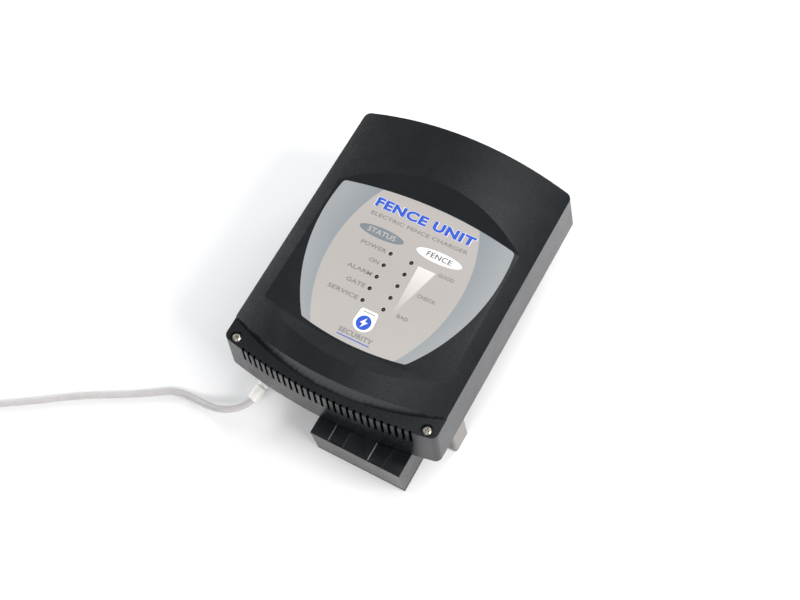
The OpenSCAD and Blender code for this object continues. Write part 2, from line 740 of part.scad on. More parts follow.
module cord_coil() {
  color("#d9d8d6") translate([coil_c[0], coil_c[1], 0.1]) rotate_extrude($fn = 72)
    polygon([[coil_mid_r - coil_half, 2], [coil_mid_r - coil_half + 2, 0], [coil_mid_r + coil_half - 2, 0],
      [coil_mid_r + coil_half, 2], [coil_mid_r + coil_half, coil_h - 2], [coil_mid_r + coil_half - 2, coil_h],
      [coil_mid_r - coil_half + 2, coil_h], [coil_mid_r - coil_half, coil_h - 2]]);
}

// A flat tie round the coil's turns, on its far side from the lead
tie_turn = 20;
module coil_tie() {
  color("#f1f0ec") translate([coil_c[0], coil_c[1], 0.05]) rotate([0, 0, tie_turn])
    translate([coil_mid_r - coil_half - 1.2, -3, 0]) difference() {
      cube([2 * coil_half + 2.4, 6, coil_h + 1.4]);
      translate([1.15, -1, -1]) cube([2 * coil_half + 0.1, 8, coil_h + 1.15]);
    }
}

// ---- two-pin plug at the end of the tail, lying on the floor
plug_at = [-287.5, -364.5, 9.4];
plug_turn = -15;
module plug_frame() { translate(plug_at) rotate([0, 0, plug_turn]) children(); }
module plug_body() {
  color("#dcdbd8") plug_frame() difference() {
    union() {
      rotate([0, 90, 0]) cylinder(d1 = 8, d2 = 12, h = 24);
      translate([22, -13, -8.6]) soft_block([22, 26, 17.2], 4);
    }
    translate([-1, 0, 0]) rotate([0, 90, 0]) cylinder(d = lead_d, h = 1.05);
    for (s = [-1, 1]) translate([34, s * 9.5, 0]) rotate([0, 90, 0]) cylinder(d = 4, h = 20);
  }
}
module plug_pins() {
  color("silver") plug_frame() for (s = [-1, 1]) translate([34, s * 9.5, 0]) rotate([0, 90, 0])
    cylinder(d = 4, h = 29);
}

base_tray();
hinge_pins();
battery();
battery_strap();
strap_screws();
battery_tabs();
main_board();
board_screws();
mains_transformer_core();
mains_transformer_coil();
pulse_transformer_core();
pulse_transformer_coil();
storage_capacitors();
heat_sink();
relays();
fuse_holder();
fuse();
buzzer();
mains_terminals();
signal_terminals();
fence_terminal_block();
wire_clamps();
terminal_screw_1();
terminal_screw_2();
terminal_screw_3();
terminal_screw_4();
gland_body();
gland_locknut();
gland_nut();
side_entry_box();
front_cover();
fascia_label();
led_board();
led_board_screws();
status_leds();
fence_leds();
cover_screw_left();
cover_screw_right();
terminal_cover();
cord_tube();
cord_coil();
coil_tie();
cord_tail();
plug_body();
plug_pins();
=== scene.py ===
"""Wall-mounting electric fence charger.

Soft edges, finishes, printing and the mains lead over the CAD frame.
"""
import json
import math
import bpy
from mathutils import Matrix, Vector


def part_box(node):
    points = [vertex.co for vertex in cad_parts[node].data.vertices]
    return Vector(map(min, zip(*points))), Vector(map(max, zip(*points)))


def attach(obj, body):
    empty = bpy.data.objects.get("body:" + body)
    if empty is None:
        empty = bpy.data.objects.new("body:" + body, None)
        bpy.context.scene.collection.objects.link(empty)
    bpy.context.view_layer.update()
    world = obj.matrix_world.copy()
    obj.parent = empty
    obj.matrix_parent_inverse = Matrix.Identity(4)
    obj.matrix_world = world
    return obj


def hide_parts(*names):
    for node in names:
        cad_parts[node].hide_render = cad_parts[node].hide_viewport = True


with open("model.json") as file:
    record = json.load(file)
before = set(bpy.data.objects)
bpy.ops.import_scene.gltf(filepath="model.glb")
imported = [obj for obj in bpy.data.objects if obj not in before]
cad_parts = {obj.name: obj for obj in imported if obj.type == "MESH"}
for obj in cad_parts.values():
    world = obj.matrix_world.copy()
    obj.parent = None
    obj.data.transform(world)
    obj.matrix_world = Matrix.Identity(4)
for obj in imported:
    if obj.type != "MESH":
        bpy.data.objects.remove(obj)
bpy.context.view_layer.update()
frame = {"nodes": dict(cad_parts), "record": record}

MM = 0.001
LENS_MM, SENSOR_MM = 59.13, 36
EYE_AT = (0.3491, -0.3572, 1.0298)
EYE_TURN = (25.311, 7.588, 29.443)     # degrees about x, y and z
BODIES = frame["record"]["behaviour"]["bodies"]
BODY_OF = {node: body for body, nodes in BODIES.items() for node in nodes}
SLOT_OF = {part["node"]: part["material_slot"] for part in frame["record"]["subparts"]}


# ---------------------------------------------------------------- camera, floor and light
def camera():
    """A short telephoto at the right front corner, above the cover."""
    data = bpy.data.cameras.new("camera")
    data.lens = LENS_MM
    data.sensor_width = SENSOR_MM
    data.clip_end = 20
    eye = bpy.data.objects.new("camera", data)
    eye.location = EYE_AT
    eye.rotation_euler = [math.radians(a) for a in EYE_TURN]
    bpy.context.collection.objects.link(eye)
    bpy.context.scene.camera = eye


def soft_light(name, place, aim, size, watts, tint=(1, 1, 1)):
    """A rectangular light box that faces a point."""
    data = bpy.data.lights.new(name, "AREA")
    data.shape = "RECTANGLE"
    data.size, data.size_y = size
    data.energy = watts
    data.color = tint
    lamp = bpy.data.objects.new(name, data)
    lamp.location = place
    lamp.rotation_euler = (Vector(aim) - Vector(place)).to_track_quat("-Z", "Y").to_euler()
    bpy.context.collection.objects.link(lamp)


def studio():
    """A dim room with large boxes low on all sides and a small one overhead, behind the cover."""
    world = bpy.data.worlds.new("studio")
    bpy.context.scene.world = world
    world.use_nodes = True
    sky = world.node_tree.nodes["Background"]
    sky.inputs["Color"].default_value = (0.96, 0.98, 1.0, 1)
    sky.inputs["Strength"].default_value = 0.3
    soft_light("right_box", (2.2, 0.1, 1.2), (0, 0, 0), (1.8, 1.6), 72, (1, 0.975, 0.97))
    soft_light("front_box", (0.1, -1.7, 1.9), (0, 0, 0), (1.0, 0.7), 20, (1, 0.98, 0.97))
    soft_light("left_box", (-2.3, 0.3, 0.9), (0, 0, 0), (1.8, 1.2), 32)
    soft_light("back_box", (0.5, 2.2, 1.1), (0, 0, 0), (1.6, 1.2), 42)
    soft_light("overhead_box", (-0.12, 0.6, 1.7), (0, 0.02, 0.08), (0.45, 0.45), 1.4)
    bpy.context.scene.view_settings.view_transform = "Standard"


def floor():
    """White paper just under the part."""
    only()
    bpy.ops.mesh.primitive_plane_add(size=12, location=(0, 0, -0.0002))
    plane = bpy.context.object
    plane.name = "floor"
    finish = bpy.data.materials.new("matt_white_paper")
    finish.use_nodes = True
    add(finish, "BsdfPrincipled", {"Base Color": srgb("f6f7f8"), "Roughness": 0.9})
    plane.data.materials.append(finish)


# ---------------------------------------------------------------- small helpers
def only(*pieces):
    """Selects these pieces and nothing else; the last one is active."""
    bpy.ops.object.select_all(action="DESELECT")
    for piece in pieces:
        piece.select_set(True)
        bpy.context.view_layer.objects.active = piece


def srgb(hexes):
    """Linear colour from an sRGB hex string."""
    parts = [int(hexes[i:i + 2], 16) / 255 for i in (0, 2, 4)]
    return [p / 12.92 if p <= 0.04045 else ((p + 0.055) / 1.055) ** 2.4 for p in parts] + [1.0]


def add(finish, kind, inputs=(), **settings):
    """Adds a node to a material; an input that is another node's socket is linked, any other is set."""
    tree = finish.node_tree
    if kind == "BsdfPrincipled":
        made = tree.nodes["Principled BSDF"]
    else:
        made = tree.nodes.new("ShaderNode" + kind)
    for name, value in settings.items():
        setattr(made, name, value)
    for name, value in dict(inputs).items():
        if isinstance(value, bpy.types.NodeSocket):
            tree.links.new(value, made.inputs[name])
        else:
            made.inputs[name].default_value = value
    return made


def new_finish(name):
    """An empty material; its main shader is there already."""
    finish = bpy.data.materials.new(name)
    finish.use_nodes = True
    return finish


def ramp(finish, value, stops):
    """A colour ramp over a value, from (place, sRGB hex) stops."""
    made = add(finish, "ValToRGB", {"Fac": value})
    bands = made.color_ramp.elements
    while len(bands) < len(stops):
        bands.new(0.5)
    for band, (place, colour) in zip(bands, stops):
        band.position = place
        band.color = srgb(colour)
    return made.outputs["Color"]


def spread(finish, value, low, high, start=0.0, end=1.0):
    """A value from start..end mapped to low..high."""
    made = add(finish, "MapRange", {"Value": value, "From Min": start, "From Max": end,
                                    "To Min": low, "To Max": high})
    return made.outputs["Result"]


def grain(finish, size_mm, detail=3.0, stretch=(1, 1, 1), distortion=0.0):
    """Noise over the piece's own coordinates with features of about size_mm."""
    place = add(finish, "TexCoord").outputs["Object"]
    turned = add(finish, "Mapping", {"Vector": place, "Scale": stretch}).outputs["Vector"]
    return add(finish, "TexNoise", {"Vector": turned, "Scale": 1 / (size_mm * MM), "Detail": detail,
                                    "Roughness": 0.6, "Distortion": distortion}).outputs["Fac"]


# ---------------------------------------------------------------- finishes
def moulded(name, dark, light, rough, pit_mm=0.5, pit_depth=0.02, gloss_patch=0.05, ior=1.53):
    """Injection-moulded plastic from a spark-eroded or polished tool.

    Fine pits break the highlight up, the melt leaves a faint cloudiness in the colour, and handling
    polishes some patches and leaves hair scratches in others.
    """
    finish = new_finish(name)
    cloud = grain(finish, 24, detail=4)
    speck = grain(finish, pit_mm * 1.6, detail=2)
    colour = ramp(finish, cloud, [(0.3, dark), (0.7, light)])
    fleck = add(finish, "Mix", {0: spread(finish, speck, 0.0, 0.35, 0.35, 0.75), 6: colour, 7: srgb(light)},
                data_type="RGBA").outputs[2]
    handled = grain(finish, 38, detail=5, distortion=0.6)
    scratch = grain(finish, 0.35, detail=1, stretch=(0.05, 1.0, 1.0), distortion=0.2)
    rub = add(finish, "Math", {0: handled, 1: spread(finish, scratch, 0.0, 1.0, 0.62, 0.8)},
              operation="MULTIPLY").outputs[0]
    patchy = spread(finish, handled, rough - gloss_patch, rough + gloss_patch, 0.3, 0.7)
    gloss = add(finish, "Math", {0: patchy, 1: spread(finish, rub, 0.0, 0.08)}, operation="ADD").outputs[0]
    pits = grain(finish, pit_mm, detail=2.5)
    bump = add(finish, "Bump", {"Height": pits, "Distance": pit_depth * MM, "Strength": 1.0}).outputs["Normal"]
    add(finish, "BsdfPrincipled", {"Base Color": fleck, "Roughness": gloss, "Normal": bump, "IOR": ior})
    return finish


def metal(name, dark, light, rough, line_mm=0.25, lines=(1, 0.04, 1), depth=0.004):
    """Plated or drawn metal: fine parallel lines, with duller and brighter patches where it was handled."""
    finish = new_finish(name)
    patch = grain(finish, 7, detail=4, distortion=0.4)
    drawn = grain(finish, line_mm, detail=2, stretch=lines)
    colour = ramp(finish, patch, [(0.25, dark), (0.75, light)])
    gloss = spread(finish, patch, rough + 0.1, rough - 0.06, 0.3, 0.7)
    bump = add(finish, "Bump", {"Height": drawn, "Distance": depth * MM}).outputs["Normal"]
    add(finish, "BsdfPrincipled", {"Base Color": colour, "Metallic": 1.0, "Roughness": gloss, "Normal": bump})
    return finish


def label_film():
    """Reverse-printed polycarbonate film: a warm grey panel between two cool grey crescents.

    The print is flat and even under a fine matt emboss; the crescents lighten towards the bottom.
    """
    finish = new_finish("screen_printed_polycarbonate")
    place = add(finish, "TexCoord").outputs["Object"]
    axis = add(finish, "SeparateXYZ", {"Vector": place})
    across = add(finish, "Math", {0: axis.outputs["X"]}, operation="ABSOLUTE").outputs[0]
    folded = add(finish, "CombineXYZ", {"X": across, "Y": axis.outputs["Y"]}).outputs["Vector"]
    reach = add(finish, "VectorMath", {0: folded, 1: (-PANEL_EDGE_X * MM, PANEL_MID_Y * MM, 0)},
                operation="DISTANCE").outputs["Value"]
    outside = spread(finish, reach, 0.0, 1.0, (PANEL_R - 0.15) * MM, (PANEL_R + 0.15) * MM)
    height = spread(finish, axis.outputs["Y"], 0.0, 1.0, -0.075, 0.06)
    away = spread(finish, reach, 0.0, 0.5, PANEL_R * MM, (PANEL_R + 22) * MM)
    blend = add(finish, "Math", {0: away, 1: spread(finish, height, 0.5, 0.0)}, operation="ADD").outputs[0]
    crescent = ramp(finish, blend, [(0.0, "838a8f"), (0.3, "898f93"), (0.6, "93979a"), (1.0, "9da0a2")])
    panel = ramp(finish, height, [(0.0, "aeaaa6"), (0.5, "a8a4a0"), (1.0, "aca7a3")])
    printed = add(finish, "Mix", {0: outside, 6: panel, 7: crescent}, data_type="RGBA").outputs[2]
    dots = grain(finish, 0.4, detail=1)
    inked = add(finish, "Mix", {0: spread(finish, dots, 0.0, 0.05), 6: printed, 7: srgb("777b7e")},
                data_type="RGBA").outputs[2]
    emboss = grain(finish, 0.25, detail=2)
    bump = add(finish, "Bump", {"Height": emboss, "Distance": 0.004 * MM}).outputs["Normal"]
    wiped = grain(finish, 30, detail=3, distortion=0.5)
    gloss = spread(finish, wiped, 0.42, 0.56, 0.3, 0.7)
    add(finish, "BsdfPrincipled", {"Base Color": inked, "Roughness": gloss, "Normal": bump, "IOR": 1.585})
    return finish


def ink(name, colour, worn, fade_to=None):
    """Screen ink: even, slightly mottled at the mesh's pitch; one ink can fade down the label."""
    finish = new_finish(name)
    mesh_dots = grain(finish, 0.3, detail=1.5)
    even = ramp(finish, mesh_dots, [(0.35, colour), (0.85, worn)])
    if fade_to:
        place = add(finish, "TexCoord").outputs["Object"]
        axis = add(finish, "SeparateXYZ", {"Vector": place})
        down = spread(finish, axis.outputs["Y"], 1.0, 0.0, WEDGE_TIP[1] * MM, WEDGE_TOP_Y * MM)
        even = add(finish, "Mix", {0: down, 6: even, 7: srgb(fade_to)}, data_type="RGBA").outputs[2]
    bump = add(finish, "Bump", {"Height": mesh_dots, "Distance": 0.003 * MM}).outputs["Normal"]
    add(finish, "BsdfPrincipled", {"Base Color": even, "Roughness": 0.48, "Normal": bump, "IOR": 1.5})
    return finish


def lamp_lens():
    """Tinted epoxy over an unlit chip: dark, glassy, a little milky in patches."""
    finish = new_finish("tinted_epoxy_lens")
    haze = grain(finish, 1.5, detail=2)
    colour = ramp(finish, haze, [(0.3, "1b1a1a"), (0.8, "2f2b2a")])
    add(finish, "BsdfPrincipled", {"Base Color": colour, "Roughness": spread(finish, haze, 0.12, 0.3),
                                   "IOR": 1.54, "Transmission Weight": 0.15})
    return finish


def nylon():
    """Natural nylon: milky, lets light in a little, with faint flow lines from the gate."""
    finish = new_finish("moulded_natural_nylon")
    flow = grain(finish, 2.5, detail=3, stretch=(1, 1, 0.3), distortion=0.8)
    colour = ramp(finish, flow, [(0.3, "eceae4"), (0.7, "f7f6f3")])
    bump = add(finish, "Bump", {"Height": grain(finish, 0.4), "Distance": 0.008 * MM}).outputs["Normal"]
    add(finish, "BsdfPrincipled", {"Base Color": colour, "Roughness": spread(finish, flow, 0.3, 0.45),
                                   "Normal": bump, "IOR": 1.53, "Subsurface Weight": 0.35,
                                   "Subsurface Radius": (0.004, 0.0035, 0.003)})
    return finish


def sheath(name, dark, light):
    """Extruded PVC: satin, with a fine grain on its skin and scuffs from the floor."""
    finish = new_finish(name)
    scuff = grain(finish, 9, detail=5, distortion=0.5)
    colour = ramp(finish, scuff, [(0.25, dark), (0.65, light)])
    skin = grain(finish, 0.7, detail=2)
    bump = add(finish, "Bump", {"Height": skin, "Distance": 0.02 * MM}).outputs["Normal"]
    gloss = spread(finish, scuff, 0.5, 0.34, 0.3, 0.7)
    add(finish, "BsdfPrincipled", {"Base Color": colour, "Roughness": gloss, "Normal": bump, "IOR": 1.54,
                                   "Subsurface Weight": 0.08,
                                   "Subsurface Radius": (0.002, 0.002, 0.002)})
    return finish


def circuit_board():
    """Glass-epoxy laminate under green mask: tracks show as a brick pattern of darker and lighter green, and
    the weave as a fine relief.
    """
    finish = new_finish("solder_masked_laminate")
    place = add(finish, "TexCoord").outputs["Object"]
    tracks = add(finish, "TexBrick", {"Vector": place, "Scale": 1 / (20 * MM), "Color1": srgb("1f6a3a"),
                                      "Color2": srgb("1a5c31"), "Mortar": srgb("2f8a50"),
                                      "Mortar Size": 0.03, "Brick Width": 0.5, "Row Height": 0.14})
    weave = grain(finish, 0.5, detail=1)
    bump = add(finish, "Bump", {"Height": weave, "Distance": 0.01 * MM}).outputs["Normal"]
    add(finish, "BsdfPrincipled", {"Base Color": tracks.outputs["Color"], "Normal": bump, "IOR": 1.5,
                                   "Roughness": spread(finish, weave, 0.25, 0.4)})
    return finish


def core_steel():
    """Stacked core plates: the sheet edges show as fine lines under varnish."""
    finish = new_finish("varnished_core_plates")
    place = add(finish, "TexCoord").outputs["Object"]
    sheets = add(finish, "TexWave", {"Vector": place, "Scale": 1 / (6.3 * MM), "Distortion": 0.4},
                 bands_direction="Y").outputs["Fac"]
    colour = ramp(finish, sheets, [(0.2, "2b2a29"), (0.8, "5b5957")])
    bump = add(finish, "Bump", {"Height": sheets, "Distance": 0.08 * MM}).outputs["Normal"]
    add(finish, "BsdfPrincipled", {"Base Color": colour, "Metallic": 0.7, "Roughness": 0.42, "Normal": bump})
    return finish


def fuse_glass():
    """Clear drawn tube with a faint ripple."""
    finish = new_finish("drawn_clear_glass")
    ripple = grain(finish, 3, detail=1)
    bump = add(finish, "Bump", {"Height": ripple, "Distance": 0.02 * MM}).outputs["Normal"]
    add(finish, "BsdfPrincipled", {"Base Color": srgb("e4ecec"), "Roughness": 0.05, "IOR": 1.5,
                                   "Transmission Weight": 0.9, "Normal": bump})
    return finish


# ---------------------------------------------------------------- label layout, in millimetres
PANEL_R = 130          # radius of the warm panel's two side arcs
PANEL_EDGE_X = 69.5    # their centres lie this far past the middle
PANEL_MID_Y = -3
WEDGE_TOP_Y = 7.3
WEDGE_TIP = (17.4, -41.5)
LABEL_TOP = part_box("fascia_label")[1][2] / MM
INK_T = 0.03
# how far each kind of print swells past the letters' own outlines
HALO_INK, TITLE_INK, HEADING_INK, THIN_INK, CAPTION_INK, FOOT_INK = 0.8, 0.55, 0.12, 0.1, 0.14, 0.18
LAMP_X = [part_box(n)[0][0] / MM / 2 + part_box(n)[1][0] / MM / 2 for n in ("status_leds", "fence_leds")]
LAMP_FOOT_R = 1.7
LAMPS = 5
LAMP_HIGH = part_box("status_leds")[1][1] / MM - LAMP_FOOT_R
LAMP_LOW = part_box("status_leds")[0][1] / MM + LAMP_FOOT_R
LAMP_YS = [LAMP_HIGH + (LAMP_LOW - LAMP_HIGH) * k / (LAMPS - 1) for k in range(LAMPS)]

FINISH = {
    "cover_plastic": moulded("spark_textured_abs", "090c10", "101519", 0.27, pit_mm=1.0, pit_depth=0.06),
    "box_plastic": moulded("spark_textured_abs_grey", "0c0e10", "141618", 0.28, pit_mm=0.9, pit_depth=0.04),
    "grey_plastic": moulded("moulded_pvc_grey", "726f6d", "7c7977", 0.45, pit_mm=0.6, pit_depth=0.01),
    "label_film": label_film(),
    "lamp_lens": lamp_lens(),
    "natural_nylon": nylon(),
    "lead_sheath": sheath("extruded_pvc", "b5b2b2", "c0bdbd"),
    "plug_plastic": sheath("moulded_pvc_plug", "b3b1b0", "bebcbb"),
    "cover_screw_steel": metal("zinc_plated_screw", "a8a294", "d5d0c4", 0.3),
    "steel": metal("zinc_plated_steel", "9a9b9c", "c6c7c8", 0.32),
    "zinc_strip": metal("zinc_plated_strip", "8d9094", "b4b7ba", 0.38),
    "core_steel": core_steel(),
    "coil_tape": moulded("polyester_tape", "b98a1c", "d3a431", 0.3, pit_mm=1.2, pit_depth=0.01, ior=1.6),
    "potting": moulded("cast_black_resin", "101112", "1a1b1d", 0.3, pit_mm=2.0, pit_depth=0.02),
    "capacitor_sleeve": moulded("shrunk_pvc_sleeve", "16283c", "1e3651", 0.25, pit_mm=1.5, pit_depth=0.008),
    "fin_aluminium": metal("extruded_aluminium", "b0b2b4", "d0d2d4", 0.34, lines=(1, 1, 0.03)),
    "relay_case": moulded("moulded_cream_case", "d3cdbd", "e0dbcd", 0.35, pit_mm=0.5, pit_depth=0.006),
    "fuse_glass": fuse_glass(),
    "terminal_green": moulded("moulded_green_polyamide", "255c36", "2f6e42", 0.45, pit_mm=0.5, pit_depth=0.01),
    "block_plastic": moulded("moulded_melamine", "c9c3b4", "d6d1c4", 0.35, pit_mm=0.8, pit_depth=0.01),
    "circuit_board": circuit_board(),
    "battery_case": moulded("moulded_battery_case", "2c3036", "373c43", 0.4, pit_mm=0.8, pit_depth=0.02),
    "brass": metal("machined_brass", "a5813a", "cfae62", 0.28),
}
INKS = {
    "white": ink("white_screen_ink", "f2f1f0", "e6e4e2"),
    "blue": ink("blue_screen_ink", "1f4cba", "2f5cc6"),
    "grey": ink("grey_screen_ink", "7a7a79", "878685"),
    "dark_grey": ink("dark_grey_screen_ink", "56595b", "66696b"),
    "cool_grey": ink("cool_grey_screen_ink", "70787e", "7b8388"),
    "pale": ink("pale_screen_ink", "b1adaa", "a6a29f"),
    "fading_white": ink("fading_white_screen_ink", "dbd8d5", "d0cdca", fade_to="aaa6a2"),
}


# ---------------------------------------------------------------- CAD pieces with softened edges
def copy_of(node):
    """A copy of a CAD piece with its triangles joined up and flat areas merged."""
    mesh = frame["nodes"][node].data.copy()
    piece = bpy.data.objects.new(node + "_finished", mesh)
    bpy.context.collection.objects.link(piece)
    only(piece)
    bpy.ops.object.mode_set(mode="EDIT")
    bpy.ops.mesh.select_all(action="SELECT")
    bpy.ops.mesh.remove_doubles(threshold=0.002 * MM)
    bpy.ops.mesh.dissolve_limited(angle_limit=math.radians(0.2))
    bpy.ops.object.mode_set(mode="OBJECT")
    return piece


def finished(piece, node):
    """Puts a finished copy in the CAD piece's place."""
    piece.data.materials.clear()
    piece.data.materials.append(FINISH[SLOT_OF[node]])
    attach(piece, BODY_OF[node])
    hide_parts(node)


def softened(node, edge_mm):
    """Rounds every sharp edge of a CAD piece by edge_mm."""
    piece = copy_of(node)
    bpy.ops.object.shade_smooth_by_angle(angle=math.radians(SHARP_DEG))
    bevel = piece.modifiers.new("soft_edges", "BEVEL")
    bevel.width = edge_mm * MM
    bevel.segments = 2
    bevel.limit_method = "ANGLE"
    bevel.angle_limit = math.radians(SHARP_DEG)
    bevel.harden_normals = True
    bpy.ops.object.modifier_apply(modifier=bevel.name)
    finished(piece, node)
    return piece


SHARP_DEG = 35          # edges that bend more than this are rounded
DOME_R = 491            # the face's curve across, and the height of its top
DOME_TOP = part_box("front_cover")[1][2] / MM
DOME_SHARP_DEG = 14     # below this the cover's facets belong to one curve
WIDEST_EDGE = 2.2       # the cover's bevel width, in millimetres, which the edges' weights are shares of


def cover_edge_mm(mid, bend):
    """How far each sharp edge of the cover is rounded, by its place in millimetres and how sharp it is."""
    x, y, z = mid
    on_land = 82.3 < z < 90.2 and -97 < y < 82 and abs(x) < 99
    if bend < 30:
        return 1.2 if on_land and bend > DOME_SHARP_DEG else 0
    if z > 77.5 and abs(x) > 95:
        return 1.1
    if z > 77.5 and y > 110:
        return 1.8
    if z > 79.2 and -118.5 < y < -90:
        return 1.8
    if 78 < z < 79 and (y < -112 or abs(x) > 98):
        return 0.9
    return 0.2


def domed_cover():
    """The cover: broad rounding round the face, less on the lip, hardly any in the vents and holes."""
    piece = copy_of("front_cover")
    mesh = piece.data
    bpy.ops.object.shade_smooth_by_angle(angle=math.radians(DOME_SHARP_DEG))
    weight = mesh.attributes.new("bevel_weight_edge", "FLOAT", "EDGE")
    for edge, bend in edge_bends(mesh):
        mid = (mesh.vertices[edge.vertices[0]].co + mesh.vertices[edge.vertices[1]].co) / 2 / MM
        weight.data[edge.index].value = cover_edge_mm(mid, bend) / WIDEST_EDGE
    bevel = piece.modifiers.new("soft_edges", "BEVEL")
    bevel.width = WIDEST_EDGE * MM
    bevel.segments = 4
    bevel.limit_method = "WEIGHT"
    bevel.harden_normals = True
    bpy.ops.object.modifier_apply(modifier=bevel.name)
    dome_normals(mesh)
    finished(piece, "front_cover")


def dome_normals(mesh):
    """Gives the long facets of the face the normals of the one curve that they follow."""
    normals = [corner.vector.copy() for corner in mesh.corner_normals]
    for face in mesh.polygons:
        x, z = face.center.x / MM, face.center.z / MM
        rise = math.sqrt(DOME_R ** 2 - x ** 2)
        tilt = face.normal.angle(Vector((x, 0, rise)))
        if abs(z - DOME_TOP + DOME_R - rise) < 0.15 and tilt < math.radians(3):
            for corner in face.loop_indices:
                x = mesh.vertices[mesh.loops[corner].vertex_index].co.x / MM
                normals[corner] = Vector((x, 0, math.sqrt(DOME_R ** 2 - x ** 2))).normalized()
    mesh.normals_split_custom_set(normals)


def edge_bends(mesh):
    """Each edge between two faces, with the angle between them in degrees."""
    normals = {}
    for face in mesh.polygons:
        for key in face.edge_keys:
            normals.setdefault(key, []).append(face.normal.copy())
    return [(edge, math.degrees(normals[edge.key][0].angle(normals[edge.key][1], 0)))
            for edge in mesh.edges if len(normals.get(edge.key, ())) == 2]


EDGE_MM = {
    "base_tray": 0.5, "hinge_pins": 0.3, "battery": 1.6, "battery_strap": 0.3, "strap_screws": 0.12,
    "battery_tabs": 0.15, "main_board": 0.12, "board_screws": 0.12, "mains_transformer_core": 0.4,
    "mains_transformer_coil": 1.0, "pulse_transformer_core": 0.4, "pulse_transformer_coil": 0.8,
    "storage_capacitors": 0.5, "heat_sink": 0.2, "relays": 0.5, "fuse_holder": 0.3, "fuse": 0.3,
    "buzzer": 0.5, "mains_terminals": 0.3, "signal_terminals": 0.25, "fence_terminal_block": 0.5,
    "wire_clamps": 0.2, "terminal_screw_1": 0.15, "terminal_screw_2": 0.15, "terminal_screw_3": 0.15,
    "terminal_screw_4": 0.15, "gland_body": 0.3, "gland_locknut": 0.4, "gland_nut": 0.3,
    "side_entry_box": 0.8, "fascia_label": 0.08, "led_board": 0.12, "led_board_screws": 0.12,
    "status_leds": 0.1, "fence_leds": 0.1, "cover_screw_left": 0.15, "cover_screw_right": 0.15,
    "terminal_cover": 0.7, "coil_tie": 0.3, "plug_body": 1.2, "plug_pins": 0.6,
}


# ---------------------------------------------------------------- printing on the label
def printed(piece, name, colour):
    """Gives a piece of print its name, ink and place on the cover's body."""
    piece.name = name
    piece.data.name = name
    piece.data.materials.clear()
    piece.data.materials.append(INKS[colour])
    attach(piece, BODY_OF["fascia_label"])


def settle():
    """Applies the active piece's place, turn and size to its mesh."""
    bpy.ops.object.transform_apply(location=True, rotation=True, scale=True)
    return bpy.context.object


def raised(height):
    """Gives the selected flat outline a thickness, from the label's top up."""
    bpy.ops.object.mode_set(mode="EDIT")
    bpy.ops.mesh.select_all(action="SELECT")
    bpy.ops.mesh.extrude_region_move(TRANSFORM_OT_translate={"value": (0, 0, height * MM)})
    bpy.ops.mesh.select_all(action="SELECT")
    bpy.ops.mesh.normals_make_consistent(inside=False)
    bpy.ops.object.mode_set(mode="OBJECT")


def oval(name, at, half, colour, height=INK_T):
    """A filled printed oval, from its middle and half sizes in millimetres."""
    only()
    bpy.ops.mesh.primitive_circle_add(vertices=96, radius=1, fill_type="NGON",
                                      location=(at[0] * MM, at[1] * MM, LABEL_TOP * MM))
    bpy.context.object.scale = (half[0] * MM, half[1] * MM, 1)
    piece = settle()
    raised(height)
    printed(piece, name, colour)


def shape(name, points, colour, height=INK_T):
    """A flat printed shape with the given corners, in millimetres, drawn anticlockwise."""
    mesh = bpy.data.meshes.new(name)
    mesh.from_pydata([(x * MM, y * MM, LABEL_TOP * MM) for x, y in points], [], [range(len(points))])
    piece = bpy.data.objects.new(name, mesh)
    bpy.context.collection.objects.link(piece)
    only(piece)
    raised(height)
    printed(piece, name, colour)


def words(name, lines, size, colour, height=INK_T, thick=THIN_INK):
    """Printed generic words: (text, x, y, alignment, width) for each line, y at the middle of the letters."""
    made = []
    for text, x, y, align, width in lines:
        only()
        bpy.ops.object.text_add(location=(x * MM, y * MM, LABEL_TOP * MM))
        letter = bpy.context.object
        letter.data.body = text
        letter.data.size = size * MM
        letter.data.align_x = align
        letter.data.align_y = "CENTER"
        letter.data.space_character = 1 + 2.5 * thick / size
        letter.data.offset = thick * MM
        letter.data.extrude = height * MM
        letter.data.resolution_u = 4
        bpy.context.view_layer.update()
        letter.scale.x = width * MM / letter.dimensions.x
        bpy.ops.object.convert(target="MESH")
        made.append(settle())
    only(*made)
    bpy.ops.object.join()
    printed(bpy.context.object, name, colour)


def lamp_rings():
    """A pale ring round each lamp hole."""
    made = []
    for x in LAMP_X:
        for y in LAMP_YS:
            only()
            bpy.ops.mesh.primitive_circle_add(vertices=48, radius=1.85 * MM, fill_type="NOTHING",
                                              location=(x * MM, y * MM, LABEL_TOP * MM))
            bpy.ops.object.mode_set(mode="EDIT")
            bpy.ops.mesh.select_all(action="SELECT")
            bpy.ops.mesh.extrude_region_move()
            bpy.ops.transform.resize(value=(1.42, 1.42, 1),
                                     center_override=(x * MM, y * MM, LABEL_TOP * MM))
            bpy.ops.object.mode_set(mode="OBJECT")
            ring = settle()
            raised(INK_T)
            made.append(ring)
    only(*made)
    bpy.ops.object.join()
    printed(bpy.context.object, "lamp_rings", "pale")


def badge():
    """A white shield with a blue disc that carries a plain spark sign."""
    foot = [(9.0 * math.cos(a) + 0.6, 8.0 * math.sin(a) - 56.3)
            for a in [math.radians(180 + 180 * k / 16) for k in range(17)]]
    top = [(8.6, -46.5), (7.4, -44.6), (-6.4, -44.6), (-7.6, -46.5)]
    shape("badge_shield", foot + top, "white")
    oval("badge_disc", (0.6, -56.2), (6.4, 6.4), "blue", height=2 * INK_T)
    spark = [(1.6, -51.4), (-2.6, -56.9), (0.1, -56.9), (-0.6, -61), (3.9, -55.2), (1.1, -55.2)]
    shape("badge_spark", spark, "white", height=3 * INK_T)
    bar = [(-4.6, -47.3), (5.8, -47.3), (5.8, -46.5), (-4.6, -46.5)]
    shape("badge_bar", bar, "grey", height=2 * INK_T)


